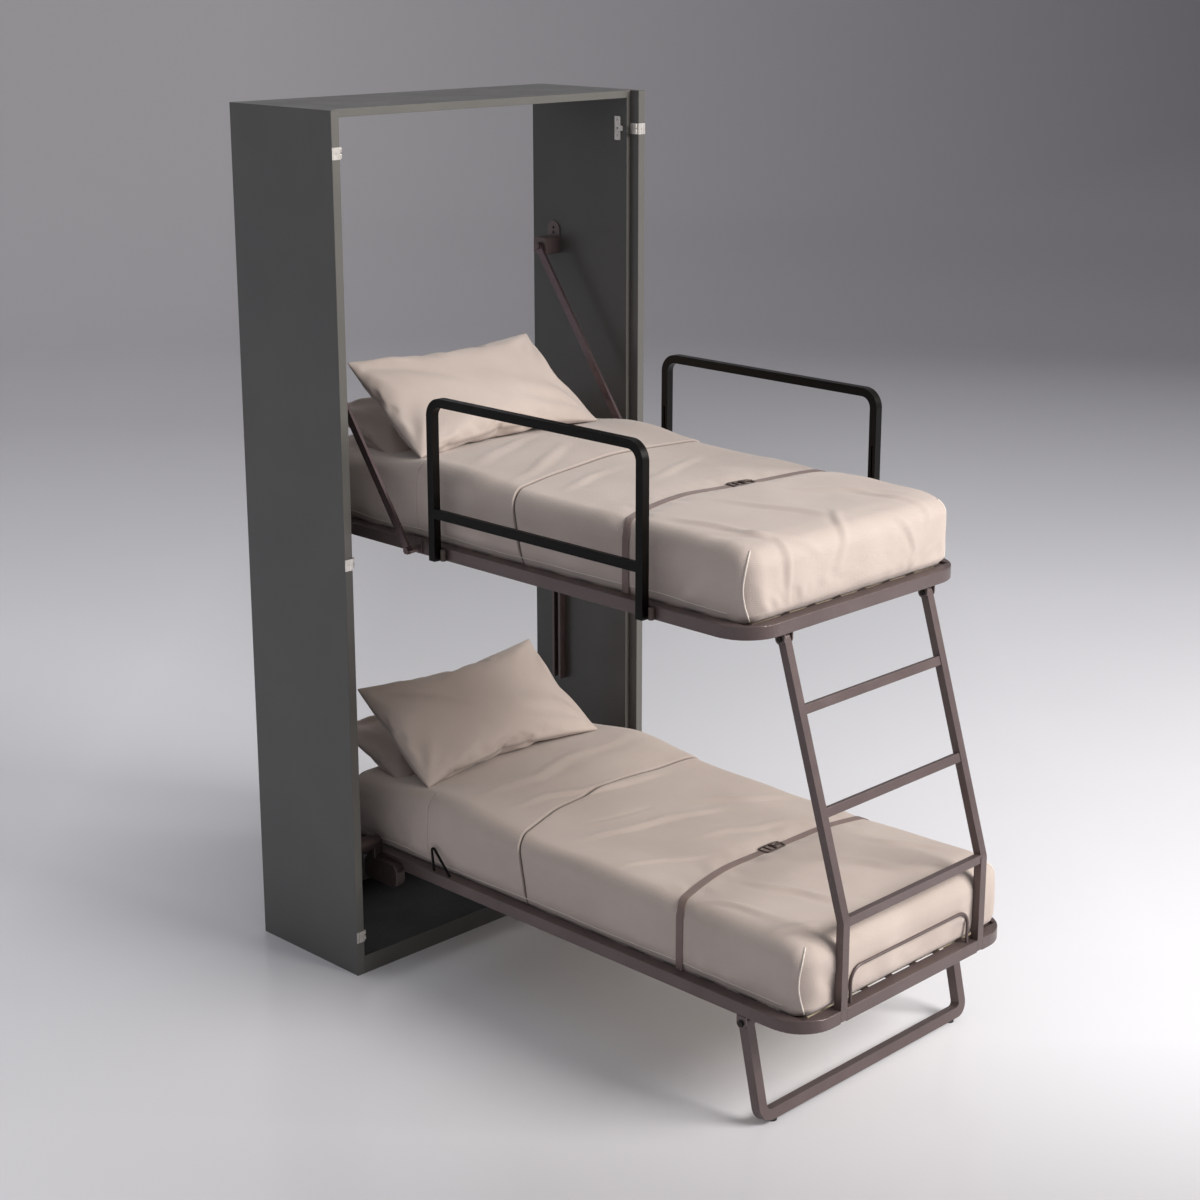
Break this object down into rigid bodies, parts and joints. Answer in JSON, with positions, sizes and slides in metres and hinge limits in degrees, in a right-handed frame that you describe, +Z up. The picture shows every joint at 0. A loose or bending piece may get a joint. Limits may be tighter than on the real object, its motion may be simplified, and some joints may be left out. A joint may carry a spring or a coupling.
{
  "type": "folding bunk bed",
  "caption": "Tall open cabinet from which single beds fold out one above the other, with guards, a hanging ladder, stay arms and a folding floor leg.",
  "frame": {"origin": "on the floor, under the middle of the cabinet's base", "axes": "+X to the right across the cabinet seen from the foot end, +Y from the foot of the beds to the cabinet's back, +Z up"},
  "size_m": [1.25, 2.094, 2.6],
  "materials": {
    "lacquer": "matte lacquered board, dark grey",
    "bed_metal": "fine textured powder coat, brown mauve",
    "black_metal": "satin powder coat, near black",
    "bright_steel": "nickel plated, satin",
    "dark_steel": "blackened bolt heads, satin",
    "slat_wood": "bent plywood slats, clear lacquer",
    "moulding": "matte moulded plastic, dark",
    "foam": "knitted foam cover",
    "bedding": "plain woven cotton, taupe",
    "webbing": "woven webbing, mauve brown",
    "rubber": "matte rubber"
  },
  "bodies": {
    "cabinet": {"side_panel_left": "lacquer", "side_panel_right": "lacquer", "side_lining_left": "lacquer", "side_lining_right": "lacquer", "top_panel": "lacquer", "base_panel": "lacquer", "back_rail": "lacquer", "door_hinge_leaves": "bright_steel", "door_mounting_plates": "bright_steel", "guide_rail_left": "bed_metal", "guide_rail_right": "bed_metal", "arm_bracket_left": "bed_metal", "arm_bracket_right": "bed_metal", "wall_bracket_left": "bed_metal", "wall_bracket_right": "bed_metal"},
    "stay_arm_left": {"stay_arm_left": "bed_metal"},
    "stay_arm_right": {"stay_arm_right": "bed_metal"},
    "lower_bed": {"lower_frame": "bed_metal", "lower_slats": "slat_wood", "lower_slat_holders": "moulding", "lower_mattress": "foam", "lower_quilt": "bedding", "lower_strap": "webbing", "lower_buckle": "moulding", "mattress_stop": "bed_metal", "side_retainers": "black_metal", "pivot_housing_left": "bed_metal", "pivot_housing_right": "bed_metal", "leg_cheeks": "bed_metal", "leg_bolts": "dark_steel", "lower_pillow_front": "bedding", "lower_pillow_back": "bedding"},
    "floor_leg": {"leg_frame": "bed_metal", "leg_pads": "rubber"},
    "ladder": {"ladder_stiles": "bed_metal", "ladder_rungs": "bed_metal"},
    "upper_bed": {"upper_frame": "bed_metal", "upper_slats": "slat_wood", "upper_slat_holders": "moulding", "upper_mattress": "foam", "upper_quilt": "bedding", "upper_strap": "webbing", "upper_buckle": "moulding", "carriage_lugs": "bed_metal", "arm_ears": "bed_metal", "ladder_cheeks": "bed_metal", "ladder_bolts": "dark_steel", "guard_sleeves": "black_metal", "guard_knobs": "moulding", "upper_pillow_front": "bedding", "upper_pillow_back": "bedding"},
    "guard_left": {"guard_left": "black_metal"},
    "guard_right": {"guard_right": "black_metal"},
    "carriage": {"carriage_left": "bed_metal", "carriage_right": "bed_metal", "carriage_shoes": "moulding", "carriage_pins": "dark_steel"}
  },
  "joints": [
    {"name": "lower_fold", "type": "hinge", "parent": "cabinet", "child": "lower_bed", "pos_m": [0, -0.1505, 0.375], "axis": [-1, 0, 0], "range_deg": [0, 90], "deforming": ["lower_pillow_front", "lower_pillow_back"]},
    {"name": "upper_slide", "type": "slide", "parent": "cabinet", "child": "carriage", "axis": [0, 0, -1], "range_m": [0, 0.7274]},
    {"name": "upper_fold", "type": "hinge", "parent": "carriage", "child": "upper_bed", "pos_m": [0, 0.1095, 1.437], "axis": [-1, 0, 0], "range_deg": [0, 90], "deforming": ["upper_pillow_front", "upper_pillow_back"]},
    {"name": "left_arm_swing", "type": "hinge", "parent": "cabinet", "child": "stay_arm_left", "pos_m": [0, 0.1345, 2.089], "axis": [1, 0, 0], "range_deg": [0, 28.06]},
    {"name": "right_arm_swing", "type": "hinge", "parent": "cabinet", "child": "stay_arm_right", "pos_m": [0, 0.1345, 2.089], "axis": [1, 0, 0], "range_deg": [0, 28.06]},
    {"name": "ladder_swing", "type": "hinge", "parent": "upper_bed", "child": "ladder", "pos_m": [0, -1.6275, 1.318], "axis": [1, 0, 0], "range_deg": [0, 75.61]},
    {"name": "leg_fold", "type": "hinge", "parent": "lower_bed", "child": "floor_leg", "pos_m": [0, -1.6435, 0.287], "axis": [1, 0, 0], "range_deg": [0, 100.01]},
    {"name": "left_guard_drop", "type": "slide", "parent": "upper_bed", "child": "guard_left", "axis": [0, 0, -1], "range_m": [0, 0.25502]},
    {"name": "right_guard_drop", "type": "slide", "parent": "upper_bed", "child": "guard_right", "axis": [0, 0, -1], "range_m": [0, 0.25502]}
  ],
  "couplings": [
    {"joint": "upper_slide", "follows": "lower_fold", "m_per_rad": 0.46307},
    {"joint": "upper_fold", "follows": "lower_fold", "ratio": 1},
    {"joint": "left_arm_swing", "follows": "lower_fold", "ratio": 0.3117},
    {"joint": "right_arm_swing", "follows": "lower_fold", "ratio": 0.3117},
    {"joint": "ladder_swing", "follows": "lower_fold", "ratio": 0.84},
    {"joint": "leg_fold", "follows": "lower_fold", "ratio": 1.1111},
    {"joint": "left_guard_drop", "follows": "lower_fold", "m_per_rad": 0.16234},
    {"joint": "right_guard_drop", "follows": "lower_fold", "m_per_rad": 0.16234}
  ]
}
